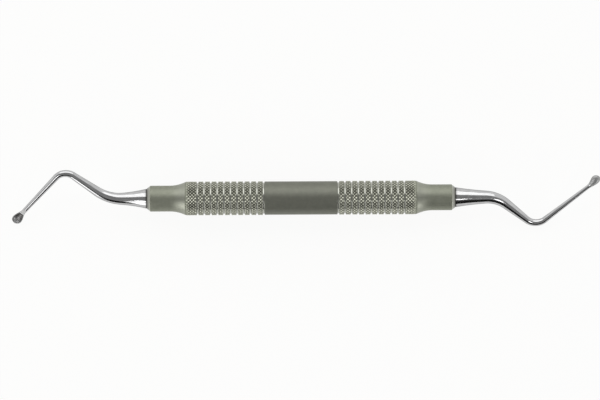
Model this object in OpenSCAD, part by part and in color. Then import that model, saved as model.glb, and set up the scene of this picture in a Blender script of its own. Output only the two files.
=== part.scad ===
// Double-ended surgical curette, in millimetres, lying flat as it rests on a tray.
// The handle is a swaged steel tube with two knurled and ringed grips.
// A cranked working end with a spoon bowl is brazed into each of its mouths.
// X runs along the handle, both shanks are cranked in the level plane, and +Z is up.

/* [Handle] */
// Diameter over the knurl crests
grip_d = 10; // [9:0.1:12]
// Wall of the swaged tube
tube_wall = 1.25; // [1:0.05:1.4]
// Length of the plain band between the two grips
band_len = 21.4; // [10:0.2:30]
// How far the plain band lies below the knurl crests
band_relief = 0.1; // [0.05:0.05:0.2]
// Diameter of the collar at each end
collar_d = 7.6; // [7:0.1:8.4]
// Length of each collar, with its chamfer
collar_len = 6.7; // [5:0.1:10]
// Length of the chamfer round each mouth
chamfer_len = 1; // [0.5:0.1:1.5]
// How far that chamfer drops
chamfer_drop = 0.75; // [0.5:0.05:0.85]
// Radius of the hollow curve that leads out of the collar
neck_curve_r = 10.3; // [6:0.1:16]
// Radius of the rounded shoulder that leads into the grip
shoulder_curve_r = 4.2; // [3:0.1:8]

/* [Grip] */
// Number of ring grooves in each grip
groove_count = 11; // [3:1:14]
// Distance from one ring groove to the next
groove_pitch = 1.94; // [1.6:0.02:2.6]
// Width of a ring groove
groove_w = 0.54; // [0.3:0.02:0.8]
// Depth of a ring groove below the knurl crests
groove_depth = 0.42; // [0.3:0.02:0.55]
// Full-diameter length of the last ring, before the shoulder
end_ring_len = 2.15; // [1:0.05:4]
// How far the edge of each ring is rounded down
ring_edge_drop = 0.08; // [0.02:0.02:0.12]

/* [Working ends] */
// Length of the tang inside the handle
tang_len = 8; // [5:0.5:12]
// Gap that the braze fills, all round the tang
braze_gap = 0.02; // [0.01:0.01:0.05]
// How far the root stays inside the mouth's face
root_inset = 0.1; // [0.05:0.05:0.3]
// Broken edge round the root, where it meets the handle
root_break = 0.15; // [0.1:0.05:0.3]
// Diameter where the shank enters its bend
bend_d = 2.12; // [1.8:0.02:2.8]
// How fast the last stretch thins at first; 1 is a straight taper
reach_taper = 1.35; // [1:0.05:2]
// Distance from the neck to the middle of the bowl
spoon_len = 3.35; // [2.8:0.05:5]
// Depth of the bowl from its rim to its back
bowl_depth = 1.05; // [0.95:0.05:1.3]
// Depth of the hollow in the bowl
hollow_depth = 0.76; // [0.5:0.02:0.8]
// Width of the flat rim round the tip of the hollow
rim_w = 0.27; // [0.15:0.01:0.4]
// How far back from the middle of the bowl the small ball of the hollow lies
hollow_back = 1.4; // [1:0.1:1.8]
// Width of the hollow there, as a share of its full width
hollow_taper = 0.7; // [0.5:0.05:0.85]
// From the middle of the bowl back to the foot of the sloping flat
face_len = 2.3; // [2.1:0.1:2.6]
// Length of the sloping flat that leads down to the rim
slope_len = 1.8; // [0.8:0.1:2]

/* [Left shank] */
// Length of the root's flare
left_flare_len = 9; // [6:0.5:11]
// Diameter where the flare has run out
left_waist_d = 3.36; // [3:0.02:4.4]
// Diameter of the neck just behind the bowl
left_neck_d = 1.36; // [1:0.02:1.6]
// From the mouth to the corner of the elbow
left_root_len = 11.4; // [10:0.1:15]
// Turn of the elbow, in degrees
left_elbow_deg = 37.6; // [25:0.2:45]
// Centreline radius of the elbow
left_elbow_r = 12; // [8:0.5:15]
// From the corner of the elbow to the corner of the bend
left_crank_len = 16.1; // [13:0.1:20]
// Centreline radius of the bend
left_bend_r = 3.7; // [2.5:0.1:6]
// Angle of the last stretch to the handle, in degrees
left_reach_deg = 48.6; // [30:0.2:55]
// From the corner of the bend to the end of the bowl
left_reach_len = 23.3; // [16:0.1:28]
// Further turn of the bowl against the last stretch, in degrees
left_hook_deg = 6; // [2:1:30]
// Width of the bowl over its rim
left_bowl_w = 2.94; // [2.4:0.02:3.6]

/* [Right shank] */
// Length of the root's flare
right_flare_len = 10.5; // [6:0.5:11]
// Diameter where the flare has run out
right_waist_d = 3.62; // [3:0.02:4.4]
// Diameter of the neck just behind the bowl
right_neck_d = 1.18; // [1:0.02:1.6]
// From the mouth to the corner of the elbow
right_root_len = 12.4; // [10:0.1:15]
// Turn of the elbow, in degrees
right_elbow_deg = 40.5; // [25:0.2:45]
// Centreline radius of the elbow
right_elbow_r = 9.5; // [8:0.5:15]
// From the corner of the elbow to the corner of the bend
right_crank_len = 15.3; // [13:0.1:20]
// Centreline radius of the bend
right_bend_r = 4.1; // [2.5:0.1:6]
// Angle of the last stretch to the handle, in degrees
right_reach_deg = 41.3; // [30:0.2:55]
// From the corner of the bend to the end of the bowl
right_reach_len = 24.6; // [16:0.1:28]
// Further turn of the bowl against the last stretch, in degrees
right_hook_deg = 23; // [2:1:30]
// Width of the bowl over its rim
right_bowl_w = 2.6; // [2.4:0.02:3.6]

/* [Hidden] */
$fn = 96;

// Colours as they show
satin_grey = [0.52, 0.53, 0.47];
polished_grey = [0.78, 0.78, 0.79];

// Handle radii, and the stations along one half of it
grip_r = grip_d / 2;
band_r = grip_r - band_relief;
floor_r = grip_r - groove_depth;
collar_r = collar_d / 2;
mouth_r = collar_r - chamfer_drop;
bore_r = collar_r - tube_wall;
first_groove_x = band_len / 2 + groove_w / 2;
last_groove_x = first_groove_x + (groove_count - 1) * groove_pitch;
last_ring_x = last_groove_x + groove_w / 2;
shoulder_x = last_ring_x + end_ring_len;
// The neck and shoulder arcs meet at the slope where their two drops add up to the step in radius
blend_deg = acos(1 - (grip_r - collar_r) / (neck_curve_r + shoulder_curve_r));
knurl_end_x = shoulder_x + shoulder_curve_r * sin(blend_deg);
collar_x = knurl_end_x + neck_curve_r * sin(blend_deg);
mouth_x = collar_x + collar_len;
blend_steps = 10;

// Rings of the grip
ring_w = groove_pitch - groove_w;

// Working end radii
tang_r = bore_r - braze_gap;
root_r = mouth_r - root_inset;
tang_chamfer = 0.4;
sides = 24;
hollow_sides = 60;
ball_steps = 12;

// Points along a profile arc, as [distance along the axis, radius]
function shoulder_arc(r) = [
    for (k = [0 : blend_steps])
        let (a = blend_deg * k / blend_steps)
            [shoulder_x + r * sin(a), grip_r - shoulder_curve_r + r * cos(a)]
];
function neck_arc(r) = [
    for (k = [0 : blend_steps])
        let (a = blend_deg * (1 - k / blend_steps))
            [collar_x - r * sin(a), collar_r + neck_curve_r - r * cos(a)]
];

// Turns a profile of [distance along the axis, radius] about the handle's axis
module turned(profile) {
    rotate([0, 90, 0]) rotate_extrude() polygon([for (p = profile) [p[1], p[0]]]);
}

// Outline of one ring of the grip from x to x + w, with both edges rounded down
function ring_outline(x, w) = [
    [x, floor_r],
    [x, grip_r - ring_edge_drop],
    [x + ring_edge_drop, grip_r],
    [x + w - ring_edge_drop, grip_r],
    [x + w, grip_r - ring_edge_drop],
    [x + w, floor_r]
];

// Outline of the half handle along +X: plain band, rings, shoulder, neck, collar and mouth
function half_outline() = concat(
    [[band_len / 2, band_r], [band_len / 2, floor_r]],
    [
        for (k = [0 : groove_count - 2])
            each ring_outline(first_groove_x + groove_w / 2 + k * groove_pitch, ring_w)
    ],
    [[last_ring_x, floor_r], [last_ring_x, grip_r - ring_edge_drop], [last_ring_x + ring_edge_drop, grip_r]],
    shoulder_arc(shoulder_curve_r),
    [for (k = [1 : blend_steps]) neck_arc(neck_curve_r)[k]],
    [[mouth_x - chamfer_len, collar_r], [mouth_x, mouth_r]]
);

// Bore of that half: the wall is the same all along, so its arcs share the outer ones' centres
function half_bore() = concat(
    shoulder_arc(shoulder_curve_r - tube_wall),
    [for (k = [1 : blend_steps]) neck_arc(neck_curve_r + tube_wall)[k]],
    [[mouth_x + 1, bore_r]]
);

// A half outline, carried on to the other half and closed along the axis
function both_halves(half) =
    let (last = len(half) - 1)
        concat(
            [[-half[last][0], 0]],
            [for (k = [last : -1 : 0]) [-half[k][0], half[k][1]]],
            half,
            [[half[last][0], 0]]
        );

module handle() {
    color(satin_grey)
        at_rest()
            difference() {
                turned(both_halves(half_outline()));
                turned(both_halves(half_bore()));
            }
}

// Length that a rounded corner takes from each of its two sides
function corner_cut(r, deg) = r * tan(deg / 2);
function arc_len(r, deg) = r * deg * PI / 180;

// Arc lengths, from the mouth, at which a shank's straights and arcs start and end.
// A shank is [root length, elbow turn, elbow radius, crank length, bend radius, reach angle, reach length,
// flare length, waist diameter, neck diameter, hook turn, bowl width].
function marks(shank) =
    let (
        elbow_cut = corner_cut(shank[2], shank[1]),
        turn = shank[1] + shank[5],
        bend_cut = corner_cut(shank[4], turn),
        elbow_start = shank[0] - elbow_cut,
        elbow_end = elbow_start + arc_len(shank[2], shank[1]),
        bend_start = elbow_end + shank[3] - elbow_cut - bend_cut,
        bend_end = bend_start + arc_len(shank[4], turn),
        tip = bend_end + shank[6] - bend_cut,
        bowl = tip - shank[11] / 2
    )
        [elbow_start, elbow_end, bend_start, bend_end, bowl - spoon_len, bowl, tip];

// Point that lies a length l further on from p, at a heading
function onward(p, l, heading) = [p[0] + l * cos(heading), p[1] + l * sin(heading), heading];
// The same along an arc that turns left for a positive turn and right for a negative one
function round_corner(p, r, turn) =
    let (side = sign(turn), middle = onward(p, r, p[2] + 90 * side))
        [
            middle[0] + r * cos(p[2] - 90 * side + turn),
            middle[1] + r * sin(p[2] - 90 * side + turn),
            p[2] + turn
        ];

// Place on the centreline at arc length s, as [x, y, heading]
function centreline(s, shank, m) =
    let (
        a = [m[0], 0, 0],
        b = round_corner(a, shank[2], shank[1]),
        c = onward(b, m[2] - m[1], b[2]),
        d = round_corner(c, shank[4], -shank[1] - shank[5]),
        e = onward(d, m[4] - m[3], d[2]),
        hook_r = (m[6] - m[4]) / arc_len(1, shank[10])
    )
        s <= m[0] ? [s, 0, 0]
        : s <= m[1] ? round_corner(a, shank[2], (s - m[0]) / (m[1] - m[0]) * shank[1])
        : s <= m[2] ? onward(b, s - m[1], b[2])
        : s <= m[3] ? round_corner(c, shank[4], -(s - m[2]) / (m[3] - m[2]) * (shank[1] + shank[5]))
        : s <= m[4] ? onward(d, s - m[3], d[2])
        : round_corner(e, hook_r, -(s - m[4]) / (m[6] - m[4]) * shank[10]);

// Radius of the round shank: a straight taper to the bend and a hollow one to the neck,
// with a flare at the root that runs out smoothly
function first_taper(s, shank, m) =
    (shank[8] + (bend_d - shank[8]) * (s - shank[7]) / (m[2] - shank[7])) / 2;
function shank_r(s, shank, m) =
    s < root_break ? root_r - root_break + s
    : s < m[2]
    ? first_taper(s, shank, m)
        + (root_r - first_taper(0, shank, m)) * pow(max(0, 1 - s / shank[7]), 2)
    : (shank[9] + (bend_d - shank[9]) * pow(max(0, 1 - (s - m[2]) / (m[4] - m[2])), reach_taper)) / 2;

// Half the width or the height of the section at s. Past the neck it swells into the bowl's blank.
function smooth(t) = t * t * (3 - 2 * t);
function blank(s, shank, m, full) =
    s <= m[4] ? shank_r(s, shank, m)
    : s <= m[5] ? shank[9] / 2 + (full - shank[9] / 2) * smooth((s - m[4]) / spoon_len)
    : full * sqrt(max(0, 1 - pow((s - m[5]) / (m[6] - m[5]), 2)));

// Even steps from a to b, without b
function steps(a, b, n) = [for (k = [0 : n - 1]) a + (b - a) * k / n];

// Arc lengths of the rings: close together in the flare, the bends and the bowl
function ring_stations(m) = concat(
    [0, root_break],
    steps(root_break + 0.4, m[0], 6),
    steps(m[0], m[1], 7),
    steps(m[1], m[2], 2),
    steps(m[2], m[3], 12),
    steps(m[3], m[4], 2),
    steps(m[4], m[5], 7),
    [for (k = [0 : 6]) m[5] + (m[6] - m[5]) * sin(90 * k / 7)]
);

// The forged blank of a working end: rings of points along the centreline, closed at the tip by one point
module blank_body(shank, m) {
    ring_s = ring_stations(m);
    count = len(ring_s);
    tip = centreline(m[6], shank, m);
    points = concat(
        [
            for (s = ring_s)
                let (
                    c = centreline(s, shank, m),
                    w = blank(s, shank, m, shank[11] / 2),
                    h = blank(s, shank, m, bowl_depth)
                )
                    for (i = [0 : sides - 1])
                        let (a = 360 * i / sides, across = w * cos(a))
                            [c[0] - across * sin(c[2]), c[1] + across * cos(c[2]), h * sin(a)]
        ],
        [[tip[0], tip[1], 0]]
    );
    skin = [
        for (j = [0 : count - 2])
            for (i = [0 : sides - 1])
                let (p = j * sides + i, q = j * sides + (i + 1) % sides)
                    each [[p, p + sides, q], [q, p + sides, q + sides]]
    ];
    nose = [
        for (i = [0 : sides - 1])
            [(count - 1) * sides + i, count * sides, (count - 1) * sides + (i + 1) % sides]
    ];
    base = [[for (i = [0 : sides - 1]) i]];
    polyhedron(points, concat(skin, nose, base), convexity = 6);
}

// What is ground flat, with the bowl's middle at the origin and the tip along +X:
// the slope, which runs on upward past the neck's surface, and the face of the rim
module face_cut(neck_r, bowl_w) {
    rotate([90, 0, 0])
        linear_extrude(height = 4 * bowl_w, center = true)
            polygon([
                [-face_len - slope_len * bowl_w / neck_r, bowl_w],
                [-face_len, 0],
                [bowl_w, 0],
                [bowl_w, bowl_w]
            ]);
}

// The hollow, with the bowl's middle at the origin and its face at height 0. It is turned as one body:
// a ball, a smaller one at the point back towards the neck, and the cone that touches both.
module hollow(bowl_w, back) {
    half_w = bowl_w / 2 - rim_w;
    ball_r = (half_w * half_w + hollow_depth * hollow_depth) / (2 * hollow_depth);
    lift = ball_r - hollow_depth;
    small_r = norm([half_w * hollow_taper, lift]);
    touch_deg = 90 + asin((ball_r - small_r) / norm(back));
    translate([0, 0, lift])
        rotate([0, 0, atan2(-back[1], -back[0])])
            turned(concat(
                [
                    for (k = [0 : ball_steps])
                        let (a = touch_deg * k / ball_steps)
                            [ball_r * cos(a), ball_r * sin(a)]
                ],
                [
                    for (k = [0 : ball_steps])
                        let (a = touch_deg + (180 - touch_deg) * k / ball_steps)
                            [small_r * cos(a) - norm(back), small_r * sin(a)]
                ]
            ), $fn = hollow_sides);
}

// A working end with its mouth at the origin, pointing along +X and cranked towards +Y.
// The bowl opens towards +Z for side 1 and towards -Z for side -1.
module working_end(shank, side) {
    m = marks(shank);
    bowl = centreline(m[5], shank, m);
    behind = centreline(m[5] - hollow_back, shank, m) - bowl;
    color(polished_grey)
        difference() {
            union() {
                blank_body(shank, m);
                rotate([0, 90, 0]) translate([0, 0, tang_chamfer - tang_len])
                    cylinder(h = tang_len - tang_chamfer + root_break, r = tang_r);
                rotate([0, 90, 0]) translate([0, 0, -tang_len])
                    cylinder(h = tang_chamfer, r1 = tang_r - tang_chamfer, r2 = tang_r);
            }
            translate([bowl[0], bowl[1], 0])
                mirror([0, 0, side < 0 ? 1 : 0]) {
                    rotate([0, 0, bowl[2]]) face_cut(shank[9] / 2, shank[11]);
                    hollow(shank[11], [behind[0], behind[1]]);
                }
        }
}

left_shank = [
    left_root_len, left_elbow_deg, left_elbow_r, left_crank_len,
    left_bend_r, left_reach_deg, left_reach_len, left_flare_len, left_waist_d, left_neck_d,
    left_hook_deg, left_bowl_w
];
right_shank = [
    right_root_len, right_elbow_deg, right_elbow_r, right_crank_len,
    right_bend_r, right_reach_deg, right_reach_len, right_flare_len, right_waist_d, right_neck_d,
    right_hook_deg, right_bowl_w
];

// The handle is round, so the instrument rolls on a tray until a bend touches it. Here it is the right one.
// The bend's outermost point lies where the shank runs along the handle again.
function rest_roll(shank) =
    let (m = marks(shank), s = m[2] + arc_len(shank[4], shank[1]))
        asin((grip_r - shank_r(s, shank, m)) / centreline(s, shank, m)[1]);

// Sets a piece down on the tray as the instrument lies
module at_rest() {
    translate([0, 0, grip_r]) rotate([rest_roll(right_shank), 0, 0]) children();
}

// The left end is turned over about Y, so that it points along -X, and its bowl opens upwards
module left_working_end() {
    at_rest() translate([-mouth_x, 0, 0]) rotate([0, 180, 0]) working_end(left_shank, -1);
}

// The right end is turned over about X, so that it is cranked the other way, and its bowl opens downwards
module right_working_end() {
    at_rest() translate([mouth_x, 0, 0]) rotate([180, 0, 0]) working_end(right_shank, 1);
}

handle();
left_working_end();
right_working_end();
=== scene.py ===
import math

import bmesh
import bpy
from mathutils import Matrix, Vector


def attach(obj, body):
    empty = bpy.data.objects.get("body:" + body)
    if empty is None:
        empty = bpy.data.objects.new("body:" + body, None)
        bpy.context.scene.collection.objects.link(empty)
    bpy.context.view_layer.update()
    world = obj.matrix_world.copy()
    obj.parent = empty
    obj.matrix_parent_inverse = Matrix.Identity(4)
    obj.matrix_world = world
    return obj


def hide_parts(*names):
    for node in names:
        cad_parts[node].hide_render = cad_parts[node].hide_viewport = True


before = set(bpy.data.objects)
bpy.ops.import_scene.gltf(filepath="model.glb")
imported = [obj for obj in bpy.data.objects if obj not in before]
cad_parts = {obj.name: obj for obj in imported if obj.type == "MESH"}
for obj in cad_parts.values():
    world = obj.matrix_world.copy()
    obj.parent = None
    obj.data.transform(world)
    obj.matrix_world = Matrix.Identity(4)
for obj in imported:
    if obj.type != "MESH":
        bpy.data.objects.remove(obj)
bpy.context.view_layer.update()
mm = 0.001  # lengths are written in millimetres and turned into metres with this

# the camera hangs straight above the tray, a touch turned, so that the handle rises to the right
tableCamera = {
    "lens": 200,        # long lens, in mm
    "sensor": 36,
    "height": 985,      # above the tray
    "across": -0.294,
    "up": -0.603,
    "turn": -0.28,      # degrees
}


def setCamera():
    c = tableCamera
    lens = bpy.data.cameras.new("tableCamera")
    lens.lens, lens.sensor_width = c["lens"], c["sensor"]
    lens.clip_start, lens.clip_end = 0.01, 20
    camera = bpy.data.objects.new("tableCamera", lens)
    camera.location = (c["across"] * mm, c["up"] * mm, c["height"] * mm)
    camera.rotation_euler = (0, 0, math.radians(c["turn"]))
    bpy.context.scene.collection.objects.link(camera)
    bpy.context.scene.camera = camera


def meshPiece(name, points, faces, place):
    mesh = bpy.data.meshes.new(name)
    mesh.from_pydata([place @ (Vector(p) * mm) for p in points], [], faces)
    piece = bpy.data.objects.new(name, mesh)
    bpy.context.scene.collection.objects.link(piece)
    return piece


def pointValues(piece, name, values, kind="FLOAT"):
    layer = piece.data.attributes.new(name, kind, "POINT")
    layer.data.foreach_set("vector" if kind == "FLOAT_VECTOR" else "value", values)


# the same measures as the solid handle
handlePlan = {
    "gripD": 10,
    "wall": 1.25,
    "bandLength": 21.4,
    "bandRelief": 0.1,
    "collarD": 7.6,
    "collarLength": 6.7,
    "chamferLength": 1,
    "chamferDrop": 0.75,
    "neckCurve": 10.3,
    "shoulderCurve": 4.2,
    "grooves": 11,
    "groovePitch": 1.94,
    "grooveWidth": 0.54,
    "grooveDepth": 0.42,
    "endRing": 2.15,
    # from here on, what only the finished handle has
    "diamondsRound": 32,     # knurl diamonds round the grip
    "knurlDepth": 0.2,
    "crestShare": 1.15,      # above 1 the crests are blunt
    "ringEdge": 0.2,         # rounding of each ring's edges
    "grooveCorner": 0.2,
    "chamferEdge": 0.14,
    "mouthEdge": 0.08,
    "shoulderRub": 0.45,     # how bright the hand has rubbed the shoulder beside the knurl
    "arcSteps": 10,
    "cornerSteps": 5,
    "seamShadeLength": 0.2,       # painted shade at the seam, back from the mouth
}

def roundedLine(corners, steps):
    # corners are (x, radius, rounding); a rounding turns the corner into a short curve
    line = []
    for k, (x, r, rounding) in enumerate(corners):
        here = Vector((x, r))
        if rounding == 0:
            line.append(here)
            continue
        back, onward = Vector(corners[k - 1][:2]) - here, Vector(corners[k + 1][:2]) - here
        a = here + back.normalized() * min(rounding, back.length * 0.48)
        b = here + onward.normalized() * min(rounding, onward.length * 0.48)
        for i in range(steps + 1):
            t = i / steps
            line.append(a * (1 - t) ** 2 + here * 2 * t * (1 - t) + b * t * t)
    return line


def handleStations():
    h = handlePlan
    gripR, collarR = h["gripD"] / 2, h["collarD"] / 2
    floorR = gripR - h["grooveDepth"]
    firstRing = h["bandLength"] / 2 + h["grooveWidth"]
    lastRing = firstRing + (h["grooves"] - 1) * h["groovePitch"]
    shoulder = lastRing + h["endRing"]
    slope = math.acos(1 - (gripR - collarR) / (h["neckCurve"] + h["shoulderCurve"]))
    knurlEnd = shoulder + h["shoulderCurve"] * math.sin(slope)
    collar = knurlEnd + h["neckCurve"] * math.sin(slope)
    mouth = collar + h["collarLength"]
    return gripR, collarR, floorR, firstRing, lastRing, shoulder, slope, collar, mouth


def outerCorners():
    # half of the handle, from its middle out to the mouth
    h = handlePlan
    gripR, collarR, floorR, firstRing, lastRing, shoulder, slope, collar, mouth = handleStations()
    bandR, bandEnd = gripR - h["bandRelief"], h["bandLength"] / 2
    corner, edge = h["grooveCorner"], h["ringEdge"]
    corners = [(x, bandR, 0) for x in (0, 2.5, 5, 7.5, 10)]
    corners += [(bandEnd, bandR, corner), (bandEnd, floorR, corner)]
    for k in range(h["grooves"] - 1):
        x = firstRing + k * h["groovePitch"]
        w = h["groovePitch"] - h["grooveWidth"]
        corners += [(x, floorR, corner), (x, gripR, edge), (x + w, gripR, edge), (x + w, floorR, corner)]
    corners += [(lastRing, floorR, corner), (lastRing, gripR, edge)]
    n = h["arcSteps"]
    for k in range(n + 1):
        a = slope * k / n
        corners.append((
            shoulder + h["shoulderCurve"] * math.sin(a),
            gripR - h["shoulderCurve"] * (1 - math.cos(a)), 0))
    for k in range(1, n + 1):
        a = slope * (1 - k / n)
        corners.append((
            collar - h["neckCurve"] * math.sin(a),
            collarR + h["neckCurve"] * (1 - math.cos(a)), 0))
    corners += [(collar + h["collarLength"] * 0.4, collarR, 0)]
    corners += [(mouth - h["chamferLength"], collarR, h["chamferEdge"])]
    corners += [(mouth, collarR - h["chamferDrop"], h["mouthEdge"])]
    corners += [(mouth, collarR - h["wall"], 0)]
    return corners


def boreCorners():
    # the wall is even, so the bore follows the same two curves
    h = handlePlan
    gripR, collarR, floorR, firstRing, lastRing, shoulder, slope, collar, mouth = handleStations()
    corners = [(0, gripR - h["wall"])]
    for k in range(6):
        a = slope * k / 5
        corners.append((
            shoulder + (h["shoulderCurve"] - h["wall"]) * math.sin(a),
            gripR - h["wall"] - (h["shoulderCurve"] - h["wall"]) * (1 - math.cos(a))))
    for k in range(1, 6):
        a = slope * (1 - k / 5)
        corners.append((
            collar - (h["neckCurve"] + h["wall"]) * math.sin(a),
            collarR - h["wall"] + (h["neckCurve"] + h["wall"]) * (1 - math.cos(a))))
    return [Vector(c) for c in corners]


def knurlDrop(x, column, perDiamond):
    # two sets of V cuts cross at 45 degrees; the drop is full in a cut and none on a crest
    size = math.pi * handlePlan["gripD"] / handlePlan["diamondsRound"]
    u, v = x / size, column / perDiamond
    nearest = min(0.5 - abs(w - round(w)) for w in (u + v, u - v))
    return handlePlan["knurlDepth"] * (1 - min(1, nearest * 2 * handlePlan["crestShare"]))


def makeHandle():
    h = handlePlan
    gripR = h["gripD"] / 2
    perDiamond = 4
    columns = h["diamondsRound"] * perDiamond
    row = math.pi * h["gripD"] / columns  # rows of the knurl are as far apart as its columns
    knurlFloor = gripR - h["knurlDepth"]
    half = roundedLine(outerCorners(), h["cornerSteps"])

    stations = []
    for a, b in zip(half, half[1:]):
        stations.append(a)
        if b.x - a.x > 1e-3 and min(a.y, b.y) > knurlFloor and a.x > h["bandLength"] / 2:
            k = math.ceil((a.x + 0.03) / row)
            while k * row < b.x - 0.03:
                stations.append(a.lerp(b, (k * row - a.x) / (b.x - a.x)))
                k += 1
    stations.append(half[-1])
    flip = lambda p: Vector((-p.x, p.y))
    bore = boreCorners()
    outer = [flip(p) for p in reversed(stations[1:])] + stations
    inner = list(reversed(bore)) + [flip(p) for p in bore[1:]]

    knurled = lambda p: p.y > knurlFloor and abs(p.x) > h["bandLength"] / 2
    lastRing, shoulder, slope, collar, mouth = handleStations()[4:]
    bandEnd, gripEnd = h["bandLength"] / 2, lastRing + 0.1
    turns = [2 * math.pi * j / columns for j in range(columns)]
    circle = [(math.cos(a), math.sin(a)) for a in turns]
    points, radii, machined, knurl, cutShade, paintedShade = [], [], [], [], [], []
    loop = outer + inner
    for i, p in enumerate(loop):
        onGrip = i < len(outer) and knurled(p)
        inGroove = i < len(outer) and bandEnd - 1e-3 < abs(p.x) < gripEnd and p.y < knurlFloor
        onFloor = inGroove and p.y < gripR - h["grooveDepth"] * 0.85
        rubbed = 0 if onGrip or abs(p.x) < shoulder else h["shoulderRub"] * max(0, (collar - abs(p.x)) / (collar - shoulder))
        onChamfer = i < len(outer) and abs(p.x) > mouth - h["chamferLength"] + h["chamferEdge"] / 2
        for j, (c, s) in enumerate(circle):
            r = min(p.y, gripR - knurlDrop(p.x, j, perDiamond)) if onGrip else p.y
            points.append((p.x, r * c, r * s))
            radii.append(r)
            machined.append(1 if onFloor or onChamfer else rubbed)
            # in a groove both are 1, so its walls take the dark cut colour, painted shade; its floor is machined
            # instead
            knurl.append(max(0, 2 * (p.y - knurlFloor) / h["knurlDepth"] - 1) if onGrip else 1 if inGroove else 0)
            cutShade.append((p.y - r) / h["knurlDepth"] if onGrip else 1 if inGroove else 0)
            # painted shade at the seam, fading back from the mouth
            paintedShade.append(max(0, 1 - (mouth - abs(p.x)) / h["seamShadeLength"]))
    faces, flat = [], []
    for i in range(len(loop)):
        k = (i + 1) % len(loop)
        bothKnurled = i < len(outer) - 1 and knurled(loop[i]) and knurled(loop[k])
        for j in range(columns):
            n = (j + 1) % columns
            a, b, c, d = i * columns + j, i * columns + n, k * columns + n, k * columns + j
            if bothKnurled:
                # the fold lies along the cut, never across it
                if radii[a] + radii[c] <= radii[b] + radii[d]:
                    faces += [(a, b, c), (a, c, d)]
                else:
                    faces += [(a, b, d), (b, c, d)]
                flat += [True, True]
            else:
                faces.append((a, b, c, d))
                flat.append(False)
    handle = meshPiece("knurledHandle", points, faces, onTray())
    pointValues(handle, "machined", machined)
    pointValues(handle, "knurl", knurl)
    pointValues(handle, "cutShade", cutShade)
    pointValues(handle, "paintedShade", paintedShade)
    for polygon, isFlat in zip(handle.data.polygons, flat):
        polygon.use_smooth = not isFlat
        polygon.material_index = 1 if all(abs(points[v][0]) < bandEnd for v in polygon.vertices) else 0
    sharpen(handle, 35)
    return handle


def sharpen(piece, degrees):
    # creases steeper than this stay crisp, and the faces all look outward
    bm = bmesh.new()
    bm.from_mesh(piece.data)
    bmesh.ops.recalc_face_normals(bm, faces=bm.faces)
    for edge in bm.edges:
        edge.smooth = len(edge.link_faces) == 2 and edge.calc_face_angle() < math.radians(degrees)
    bm.to_mesh(piece.data)
    bm.free()


# each shank, from the mouth out to its bowl
leftShank = {
    "root": 11.4, "elbowTurn": 37.6, "elbowRadius": 12, "crank": 16.1, "bendRadius": 3.7,
    "reachAngle": 48.6, "reach": 23.3, "flare": 9, "waistD": 3.36, "neckD": 1.36,
    "hookTurn": 6, "bowlWidth": 2.94,
}
rightShank = {
    "root": 12.4, "elbowTurn": 40.5, "elbowRadius": 9.5, "crank": 15.3, "bendRadius": 4.1,
    "reachAngle": 41.3, "reach": 24.6, "flare": 10.5, "waistD": 3.62, "neckD": 1.18,
    "hookTurn": 23, "bowlWidth": 2.6,
}

# what both working ends share
endPlan = {
    "tang": 8, "tangGap": 0.02, "tangChamfer": 0.4, "rootInset": 0.1, "rootBreak": 0.15,
    "bendD": 2.12, "reachTaper": 1.35, "spoonLength": 3.35, "bowlDepth": 1.05, "hollowDepth": 0.76,
    "rimWidth": 0.27, "hollowBack": 1.4, "hollowTaper": 0.7, "faceLength": 2.3, "slopeLength": 1.8,
    # from here on, what only the finished ends have
    "sides": 48,
    "hollowSteps": 16,       # points across the hollow
    "edgeBreak": 0.03,       # honed edge of the rim
    "dullBack": 2.4,         # the bowl's back is dull from here, behind its middle
    "hollowShade": 0.65,           # painted shade: how dark the hollow is painted towards the neck, the side turned away from the light
    # painted shade at the seam, fading out along the shank from the mouth
    "seamShadeLength": 0.45,
}


def marks(shank):
    # lengths along the shank's middle line where its straights and arcs begin and end
    elbow, bend = math.radians(shank["elbowTurn"]), math.radians(shank["elbowTurn"] + shank["reachAngle"])
    elbowCut = shank["elbowRadius"] * math.tan(elbow / 2)
    bendCut = shank["bendRadius"] * math.tan(bend / 2)
    elbowStart = shank["root"] - elbowCut
    elbowEnd = elbowStart + shank["elbowRadius"] * elbow
    bendStart = elbowEnd + shank["crank"] - elbowCut - bendCut
    bendEnd = bendStart + shank["bendRadius"] * bend
    tip = bendEnd + shank["reach"] - bendCut
    bowl = tip - shank["bowlWidth"] / 2
    return elbowStart, elbowEnd, bendStart, bendEnd, bowl - endPlan["spoonLength"], bowl, tip


def middleLine(s, shank, m):
    # place and heading at length s: a chain of straights and arcs, each (length, turn)
    chain = [
        (m[0], 0), (m[1] - m[0], shank["elbowTurn"]), (m[2] - m[1], 0),
        (m[3] - m[2], -shank["elbowTurn"] - shank["reachAngle"]), (m[4] - m[3], 0),
        (m[6] - m[4], -shank["hookTurn"]),
    ]
    x, y, heading = 0.0, 0.0, 0.0
    for k, (length, turn) in enumerate(chain):
        part = s if k == 0 else min(s, length)  # the tang lies behind the mouth, where s is below 0
        share = math.radians(turn) * part / length
        if turn:
            chord = 2 * length / math.radians(turn) * math.sin(share / 2)
            x += chord * math.cos(heading + share / 2)
            y += chord * math.sin(heading + share / 2)
        else:
            part = min(part, length)
            x += part * math.cos(heading)
            y += part * math.sin(heading)
        heading += share
        s -= length
        if s <= 0:
            break
    return x, y, heading


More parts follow.
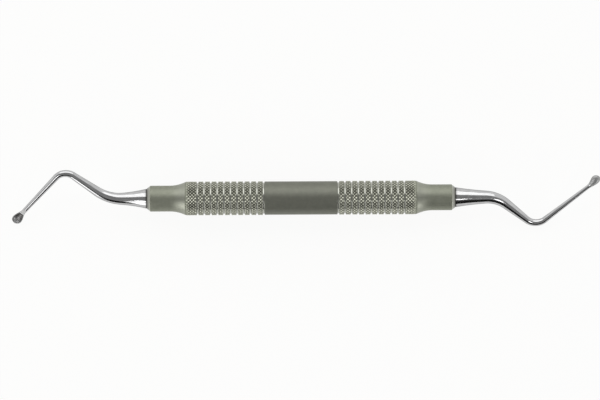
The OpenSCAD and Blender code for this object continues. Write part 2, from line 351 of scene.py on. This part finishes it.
def shankRadius(s, shank, m):
    h = handlePlan
    mouthR = h["collarD"] / 2 - h["chamferDrop"]
    tangR = h["collarD"] / 2 - h["wall"] - endPlan["tangGap"]
    rootR, chamfer = mouthR - endPlan["rootInset"], endPlan["tangChamfer"]
    if s < 0:
        return tangR - max(0, chamfer - (s + endPlan["tang"]))
    if s < endPlan["rootBreak"]:
        return rootR - endPlan["rootBreak"] + s
    if s < m[2]:
        taper = lambda at: (
            shank["waistD"] + (endPlan["bendD"] - shank["waistD"]) * (at - shank["flare"]) / (m[2] - shank["flare"])
        ) / 2
        return taper(s) + (rootR - taper(0)) * max(0, 1 - s / shank["flare"]) ** 2
    thin = max(0, 1 - (s - m[2]) / (m[4] - m[2])) ** endPlan["reachTaper"]
    return (shank["neckD"] + (endPlan["bendD"] - shank["neckD"]) * thin) / 2


def restRoll(shank):
    m = marks(shank)
    s = m[2] + shank["bendRadius"] * math.radians(shank["elbowTurn"])  # the bend's outermost point
    return math.asin((handlePlan["gripD"] / 2 - shankRadius(s, shank, m)) / middleLine(s, shank, m)[1])


def onTray():
    # the round handle rolls until the right bend touches the tray
    lift = Matrix.Translation((0, 0, handlePlan["gripD"] / 2 * mm))
    return lift @ Matrix.Rotation(restRoll(rightShank), 4, "X")


def blankHalf(s, shank, m, full):
    # half width or height of the forged blank, which swells from the neck into the bowl
    neck = shank["neckD"] / 2
    if s <= m[4]:
        return shankRadius(s, shank, m)
    if s <= m[5]:
        t = (s - m[4]) / endPlan["spoonLength"]
        return neck + (full - neck) * t * t * (3 - 2 * t)
    return full * math.sqrt(max(0, 1 - ((s - m[5]) / (m[6] - m[5])) ** 2))


def hollowShape(shank):
    # turned about a line above the face: a ball, a smaller one nearer the neck, and the cone that touches both
    e = endPlan
    halfWidth = shank["bowlWidth"] / 2 - e["rimWidth"]
    ball = (halfWidth ** 2 + e["hollowDepth"] ** 2) / (2 * e["hollowDepth"])
    lift = ball - e["hollowDepth"]
    small = math.hypot(halfWidth * e["hollowTaper"], lift)
    return halfWidth, ball, lift, small, math.asin((ball - small) / e["hollowBack"])


def hollowRadius(x, shank):
    # x runs from the middle of the bowl towards its tip
    halfWidth, ball, lift, small, narrowing = hollowShape(shank)
    back = endPlan["hollowBack"]
    if x > -ball * math.sin(narrowing):
        return math.sqrt(max(0, ball ** 2 - x ** 2))
    if x > -back - small * math.sin(narrowing):
        return (ball + x * math.sin(narrowing)) / math.cos(narrowing)
    return math.sqrt(max(0, small ** 2 - (x + back) ** 2))


def section(s, shank, m):
    # one slice of the working end as (across, up): round the back, then over the ground face and the hollow
    e, n = endPlan, endPlan["sides"]
    bowlR = shank["bowlWidth"] / 2
    w, h = blankHalf(s, shank, m, bowlR), blankHalf(s, shank, m, e["bowlDepth"])
    neck = shank["neckD"] / 2
    face = min(h, max(0, neck * (m[5] - e["faceLength"] - s) / e["slopeLength"]))
    start = math.asin(min(1, face / h)) if h > 1e-6 else 0
    cut = []
    for i in range(n + 1):
        a = start - (math.pi + 2 * start) * i / n
        cut.append((w * math.cos(a), h * math.sin(a)))
    lift, r = hollowShape(shank)[2], hollowRadius(s - m[5], shank)
    half = math.sqrt(max(0, r ** 2 - lift ** 2))
    k = e["hollowSteps"]
    for i in range(k + 1):
        across = -half * math.cos(math.pi * i / k)
        up = face if half == 0 else lift - math.sqrt(r ** 2 - across ** 2)
        cut.append((across, up))
    return cut


def evenly(a, b, n):
    return [a + (b - a) * k / n for k in range(n)]


def sliceStations(shank, m):
    # close together where the flat begins, round the hollow and at the tip
    e = endPlan
    slopeEnd = m[5] - e["faceLength"]
    slopeStart = slopeEnd - e["slopeLength"] * 1.02
    halfWidth = hollowShape(shank)[0]
    back = e["hollowBack"] + halfWidth * e["hollowTaper"]
    line = [-e["tang"], -e["tang"] + e["tangChamfer"], -e["tang"] / 2, -1e-6]
    line += evenly(0, e["rootBreak"], 2) + evenly(e["rootBreak"], m[0], 16) + evenly(m[0], m[1], 18)
    line += evenly(m[1], m[2], 8) + evenly(m[2], m[3], 28) + evenly(m[3], slopeStart, 20)
    line += [slopeStart + (slopeEnd - slopeStart) * (k / 14) ** 1.6 for k in range(15)]
    middle = (halfWidth - back) / 2
    line += [m[5] + middle - (halfWidth + back) / 2 * math.cos(math.pi * k / 32) for k in range(33)]
    reach = math.asin(halfWidth / (m[6] - m[5]))
    line += [m[5] + (m[6] - m[5]) * math.sin(reach + (math.pi / 2 - reach) * k / 8) for k in range(1, 9)]
    return sorted(set(line))


def makeWorkingEnd(name, shank, place, opensUp):
    m = marks(shank)
    points, lie, paintedShade, ground, dull = [], [], [], [], []
    stations = sliceStations(shank, m)
    groundFrom = m[5] - endPlan["faceLength"] - endPlan["slopeLength"]
    for s in stations:
        x, y, heading = middleLine(s, shank, m)
        for i, (across, up) in enumerate(section(s, shank, m)):
            inHollow = s > m[5] - endPlan["faceLength"] and i > endPlan["sides"]
            ground.append(1 if s >= groundFrom and (i >= endPlan["sides"] or i == 0) else 0)
            dull.append(1 if inHollow or s > m[5] - endPlan["dullBack"] else 0)
            up = up if opensUp else -up
            points.append((x - across * math.sin(heading), y + across * math.cos(heading), up))
            lie += [s, across, up]
            # painted shade at the seam, fading out along the shank
            paintedDark = max(0, 1 - abs(s) / endPlan["seamShadeLength"])
            # in the hollow, painted shade that deepens towards the neck; elsewhere the painted shade of the seam
            paintedShade.append(endPlan["hollowShade"] * min(1, max(0, m[5] + 0.3 - s)) if inHollow else paintedDark)
    count = len(section(0, shank, m))
    faces = [tuple(range(count))]
    for i in range(len(stations) - 1):
        for j in range(count):
            n = (j + 1) % count
            faces.append((i * count + j, i * count + n, (i + 1) * count + n, (i + 1) * count + j))
    piece = meshPiece(name, points, faces, place)
    pointValues(piece, "lie", lie, "FLOAT_VECTOR")
    pointValues(piece, "ground", ground)
    pointValues(piece, "dull", dull)
    pointValues(piece, "paintedShade", paintedShade)
    bm = bmesh.new()
    bm.from_mesh(piece.data)
    bmesh.ops.remove_doubles(bm, verts=bm.verts, dist=1e-4 * mm)
    bmesh.ops.dissolve_degenerate(bm, edges=bm.edges, dist=1e-4 * mm)
    bm.to_mesh(piece.data)
    bm.free()
    for polygon in piece.data.polygons:
        polygon.use_smooth = True
    for place, layer in ((1, "ground"), (2, "dull")):
        values = piece.data.attributes[layer].data
        for polygon in piece.data.polygons:
            if all(values[v].value > 0.5 for v in polygon.vertices):
                polygon.material_index = place
    sharpen(piece, 28)
    hone = piece.modifiers.new("hone", "BEVEL")
    hone.limit_method = "ANGLE"
    hone.angle_limit = math.radians(28)
    hone.width = endPlan["edgeBreak"] * mm
    hone.segments = 2
    hone.harden_normals = True
    return piece


def finish(name):
    material = bpy.data.materials.new(name)
    material.use_nodes = True
    nodes = material.node_tree.nodes
    return material, nodes, material.node_tree.links, nodes["Principled BSDF"]


def noiseOf(nodes, links, source, scale, detail=3, roughness=0.55):
    noise = nodes.new("ShaderNodeTexNoise")
    noise.inputs["Scale"].default_value = scale
    noise.inputs["Detail"].default_value = detail
    noise.inputs["Roughness"].default_value = roughness
    links.new(source, noise.inputs["Vector"])
    return noise.outputs["Fac"]


def spread(nodes, links, source, low, high):
    ranged = nodes.new("ShaderNodeMapRange")
    ranged.inputs["From Min"].default_value = 0.25
    ranged.inputs["From Max"].default_value = 0.75
    ranged.inputs["To Min"].default_value = low
    ranged.inputs["To Max"].default_value = high
    links.new(source, ranged.inputs["Value"])
    return ranged.outputs["Result"]


def blendColours(nodes, links, share, a, b):
    mix = nodes.new("ShaderNodeMix")
    mix.data_type = "RGBA"
    links.new(share, mix.inputs["Factor"])
    for socket, colour in ((6, a), (7, b)):
        if isinstance(colour, tuple):
            mix.inputs[socket].default_value = (*colour, 1)
        else:
            links.new(colour, mix.inputs[socket])
    return mix.outputs[2]


def pointValue(nodes, name):
    layer = nodes.new("ShaderNodeAttribute")
    layer.attribute_name = name
    return layer


satinLook = {
    "pale": (0.29, 0.30, 0.245),
    "deep": (0.245, 0.255, 0.205),
    "machined": (0.42, 0.425, 0.38),   # ring grooves, and the chamfer round each mouth
    "machinedRoughness": 0.16,
    "crest": (0.58, 0.59, 0.49),         # knurl crests, rubbed by fingers, and painted lighter as the lit top of the knurl
    # painted shade in the knurl's cuts and on the ring grooves' walls
    "cutShade": (0.08, 0.08, 0.066),
    "knurlRoughness": 0.3,
    # painted shade colour, at the seam by each mouth
    "paintedShade": (0.03, 0.028, 0.025),
    "roughness": (0.5, 0.6),
    "mottle": 900,           # patches to a metre
    "grain": 9000,
    "grainDepth": 0.012,     # mm
}
bandLook = dict(satinLook, pale=(0.21, 0.215, 0.18), deep=(0.18, 0.185, 0.155))


def satinSteel(name, look):
    material, nodes, links, shader = finish(name)
    place = nodes.new("ShaderNodeTexCoord").outputs["Object"]
    mottle = spread(nodes, links, noiseOf(nodes, links, place, look["mottle"], 4), 0, 1)
    steel = blendColours(nodes, links, mottle, look["deep"], look["pale"])
    # colour goes from the crests into the cuts: painted shade deepening with the depth, on the knurl and on the
    # groove walls
    depth = spread(nodes, links, pointValue(nodes, "cutShade").outputs["Fac"], -0.1, 1.1)
    cut = blendColours(nodes, links, depth, look["crest"], look["cutShade"])
    onKnurl = pointValue(nodes, "knurl").outputs["Fac"]
    rubbed = blendColours(nodes, links, onKnurl, steel, cut)
    turned = pointValue(nodes, "machined").outputs["Fac"]
    bright = blendColours(nodes, links, turned, rubbed, look["machined"])
    # painted shade at the seam by each mouth
    paintedDark = blendColours(nodes, links, pointValue(nodes, "paintedShade").outputs["Fac"], bright, look["paintedShade"])
    links.new(paintedDark, shader.inputs["Base Color"])
    grain = noiseOf(nodes, links, place, look["grain"], 2)
    rough = spread(nodes, links, grain, *look["roughness"])
    for share, value in ((onKnurl, look["knurlRoughness"]), (turned, look["machinedRoughness"])):
        blend = nodes.new("ShaderNodeMix")
        links.new(share, blend.inputs["Factor"])
        links.new(rough, blend.inputs["A"])
        blend.inputs["B"].default_value = value
        rough = blend.outputs["Result"]
    links.new(rough, shader.inputs["Roughness"])
    bump = nodes.new("ShaderNodeBump")
    bump.inputs["Strength"].default_value = 0.35
    bump.inputs["Distance"].default_value = look["grainDepth"] * mm
    links.new(grain, bump.inputs["Height"])
    links.new(bump.outputs["Normal"], shader.inputs["Normal"])
    shader.inputs["Metallic"].default_value = 1
    return material


polishedLook = {
    "pale": (0.66, 0.66, 0.66),
    "deep": (0.38, 0.38, 0.385),
    # painted shade colour, at the seam by the mouth and in the hollow towards the neck
    "paintedShade": (0.05, 0.045, 0.04),
    "edgeTint": (0.5, 0.5, 0.5),
    "roughness": (0.07, 0.14),
    "waves": 0.45,           # waves of the hand buffing to a millimetre
    "waveDepth": 0.02,       # mm
    "lines": 5,              # fine lines to a millimetre, round the shank
    "stretch": 0.05,         # how little they change along it
}


groundLook = dict(polishedLook, pale=(0.46, 0.46, 0.455), deep=(0.36, 0.36, 0.36), roughness=(0.22, 0.32))
dullLook = dict(polishedLook, pale=(0.42, 0.42, 0.415), deep=(0.31, 0.31, 0.31), roughness=(0.42, 0.54))


def polishedSteel(name, look):
    material, nodes, links, shader = finish(name)
    lie = pointValue(nodes, "lie").outputs["Vector"]
    waves = noiseOf(nodes, links, lie, look["waves"], 2)
    along = nodes.new("ShaderNodeMapping")
    along.inputs["Scale"].default_value = (look["stretch"], 1, 1)
    links.new(lie, along.inputs["Vector"])
    lines = noiseOf(nodes, links, along.outputs["Vector"], look["lines"], 3)
    steel = blendColours(
        nodes, links, spread(nodes, links, lines, 0, 1), look["deep"], look["pale"])
    # painted shade at the seam and in the hollow towards the neck
    paintedDark = blendColours(nodes, links, pointValue(nodes, "paintedShade").outputs["Fac"], steel, look["paintedShade"])
    links.new(paintedDark, shader.inputs["Base Color"])
    links.new(spread(nodes, links, lines, *look["roughness"]), shader.inputs["Roughness"])
    bump = nodes.new("ShaderNodeBump")
    bump.inputs["Strength"].default_value = 0.5
    bump.inputs["Distance"].default_value = look["waveDepth"] * mm
    links.new(waves, bump.inputs["Height"])
    links.new(bump.outputs["Normal"], shader.inputs["Normal"])
    shader.inputs["Metallic"].default_value = 1
    shader.inputs["Specular Tint"].default_value = (*look["edgeTint"], 1)
    return material


tablePlan = {
    "radius": 3000,
    "colour": (0.9, 0.9, 0.895),
    "paperShare": 0.92,      # how much of the table's white is bare paper white
    "paperWhite": (1, 1, 0.995),
}


def makeTable():
    sides, rings = 96, (0, 400, 1200, tablePlan["radius"])
    bm = bmesh.new()
    rows = []
    for radius in rings:
        if radius == 0:
            rows.append([bm.verts.new((0, 0, -0.00001))])
            continue
        rows.append([
            bm.verts.new((
                radius * mm * math.cos(2 * math.pi * k / sides),
                radius * mm * math.sin(2 * math.pi * k / sides), -0.00001))
            for k in range(sides)
        ])
    for k in range(sides):
        n = (k + 1) % sides
        bm.faces.new((rows[0][0], rows[1][k], rows[1][n]))
        for a, b in zip(rows[1:], rows[2:]):
            bm.faces.new((a[k], b[k], b[n], a[n]))
    mesh = bpy.data.meshes.new("table")
    bm.to_mesh(mesh)
    bm.free()
    table = bpy.data.objects.new("table", mesh)
    bpy.context.scene.collection.objects.link(table)

    material, nodes, links, shader = finish("whiteTable")
    place = nodes.new("ShaderNodeTexCoord").outputs["Object"]
    fibre = spread(nodes, links, noiseOf(nodes, links, place, 700, 4), 0, 1)
    r, g, b = tablePlan["colour"]
    colour = blendColours(nodes, links, fibre, (r * 0.98, g * 0.98, b * 0.98), (r, g, b))
    links.new(colour, shader.inputs["Base Color"])
    shader.inputs["Roughness"].default_value = 0.7
    shader.inputs["Specular IOR Level"].default_value = 0.2
    paper = nodes.new("ShaderNodeEmission")
    paper.inputs["Color"].default_value = (*tablePlan["paperWhite"], 1)
    rays = nodes.new("ShaderNodeLightPath")
    seen = rays.outputs["Is Camera Ray"]
    for kind in ("Is Glossy Ray", "Is Transmission Ray"):
        either = nodes.new("ShaderNodeMath")
        either.operation = "MAXIMUM"
        links.new(seen, either.inputs[0])
        links.new(rays.outputs[kind], either.inputs[1])
        seen = either.outputs[0]
    share = nodes.new("ShaderNodeMath")
    share.operation = "MULTIPLY"
    share.inputs[1].default_value = tablePlan["paperShare"]
    links.new(seen, share.inputs[0])
    mix = nodes.new("ShaderNodeMixShader")
    links.new(share.outputs[0], mix.inputs["Fac"])
    links.new(shader.outputs[0], mix.inputs[1])
    links.new(paper.outputs[0], mix.inputs[2])
    links.new(mix.outputs[0], nodes["Material Output"].inputs["Surface"])
    mesh.materials.append(material)


# a dark cloth stands on the near side, straight before the handle, and gives the metal its dark lines;
# its angles are counted from +X
darkCloth = {"radius": 560, "height": 560, "from": -112, "to": -61, "colour": (0.02, 0.02, 0.02)}


def hangCloth():
    c, steps = darkCloth, 20
    points, faces = [], []
    for k in range(steps + 1):
        a = math.radians(c["from"] + (c["to"] - c["from"]) * k / steps)
        for z in (0, c["height"]):
            points.append((c["radius"] * math.cos(a), c["radius"] * math.sin(a), z))
    for k in range(steps):
        faces.append((2 * k, 2 * k + 2, 2 * k + 3, 2 * k + 1))
    cloth = meshPiece("darkCloth", points, faces, Matrix.Identity(4))
    cloth.visible_camera = False
    material, nodes, links, shader = finish("darkCloth")
    place = nodes.new("ShaderNodeTexCoord").outputs["Object"]
    weave = spread(nodes, links, noiseOf(nodes, links, place, 60, 4), 0, 1)
    deep = tuple(v * 0.7 for v in c["colour"])
    links.new(blendColours(nodes, links, weave, deep, c["colour"]), shader.inputs["Base Color"])
    shader.inputs["Roughness"].default_value = 1
    shader.inputs["Specular IOR Level"].default_value = 0
    cloth.data.materials.append(material)


# the room is pale but for a dim patch of ceiling overhead, a little towards the near side
roomLight = {
    "patch": (0, -0.3, 1),   # where the dim patch lies
    "stretch": 0.68,         # below 1 the patch is longer along the handle
    "patchAngle": 43,        # degrees from its middle to where the light begins to rise
    "wallAngle": 50,         # and to where it is that of the walls
    "patchLight": 0.31,
    "wallLight": 0.95,
}


def lightRoom():
    world = bpy.data.worlds.new("room")
    bpy.context.scene.world = world
    world.use_nodes = True
    nodes, links = world.node_tree.nodes, world.node_tree.links
    squeeze, unit, toward = (nodes.new("ShaderNodeVectorMath") for k in range(3))
    squeeze.operation, unit.operation, toward.operation = "MULTIPLY", "NORMALIZE", "DOT_PRODUCT"
    squeeze.inputs[1].default_value = (roomLight["stretch"], 1, 1)
    toward.inputs[1].default_value = Vector(roomLight["patch"]).normalized()
    links.new(nodes.new("ShaderNodeTexCoord").outputs["Generated"], squeeze.inputs[0])
    links.new(squeeze.outputs["Vector"], unit.inputs[0])
    links.new(unit.outputs["Vector"], toward.inputs[0])
    rise = nodes.new("ShaderNodeMapRange")
    rise.interpolation_type = "SMOOTHSTEP"
    rise.inputs["From Min"].default_value = math.cos(math.radians(roomLight["wallAngle"]))
    rise.inputs["From Max"].default_value = math.cos(math.radians(roomLight["patchAngle"]))
    rise.inputs["To Min"].default_value = roomLight["wallLight"]
    rise.inputs["To Max"].default_value = roomLight["patchLight"]
    links.new(toward.outputs["Value"], rise.inputs["Value"])
    links.new(rise.outputs["Result"], nodes["Background"].inputs["Strength"])
    nodes["Background"].inputs["Color"].default_value = (1, 1, 1, 1)


# each box is a flat soft lamp: where its middle hangs, its size and how bright it looks
softBoxes = {
    "farBox": {"at": (-50, 480, 360), "size": (900, 520), "light": 0.72},
    "nearBox": {"at": (-450, -540, 290), "size": (500, 560), "light": 1.25},
    "highBox": {"at": (290, -260, 500), "size": (120, 100), "light": 4},
    "smallBox": {"at": (-285, -300, 440), "size": (90, 90), "light": 3},
    "sideBox": {"at": (470, -480, 140), "size": (360, 260), "light": 1.3},
}


def hangLamps():
    for name, box in softBoxes.items():
        width, height = box["size"][0] * mm, box["size"][1] * mm
        light = bpy.data.lights.new(name, "AREA")
        light.shape = "RECTANGLE"
        light.size, light.size_y = width, height
        light.energy = 4 * width * height * box["light"]
        lamp = bpy.data.objects.new(name, light)
        at = Vector(box["at"]) * mm
        lamp.location = at
        lamp.rotation_euler = at.to_track_quat("Z", "Y").to_euler()
        lamp.visible_camera = False
        bpy.context.scene.collection.objects.link(lamp)


setCamera()
print("camera over the table")

handle = makeHandle()
handle.data.materials.append(satinSteel("satinSteel", satinLook))
handle.data.materials.append(satinSteel("bandSteel", bandLook))
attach(handle, "root")
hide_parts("handle")
print("handle turned and knurled:", len(handle.data.polygons), "faces")

mouth = handleStations()[-1] * mm
shine = polishedSteel("polishedSteel", polishedLook)
groundShine = polishedSteel("groundSteel", groundLook)
dullShine = polishedSteel("dullSteel", dullLook)
ends = {
    "leftEnd": (leftShank, "left_working_end",
                Matrix.Translation((-mouth, 0, 0)) @ Matrix.Rotation(math.pi, 4, "Y"), False),
    "rightEnd": (rightShank, "right_working_end",
                 Matrix.Translation((mouth, 0, 0)) @ Matrix.Rotation(math.pi, 4, "X"), True),
}
for name, (shank, node, turned, opensUp) in ends.items():
    piece = makeWorkingEnd(name, shank, onTray() @ turned, opensUp)
    piece.data.materials.append(shine)
    piece.data.materials.append(groundShine)
    piece.data.materials.append(dullShine)
    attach(piece, "root")
    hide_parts(node)
    print(name, "forged and ground:", len(piece.data.polygons), "faces")

makeTable()
hangCloth()
lightRoom()
hangLamps()
print("table and lights set")

bpy.context.scene.view_settings.view_transform = "Standard"
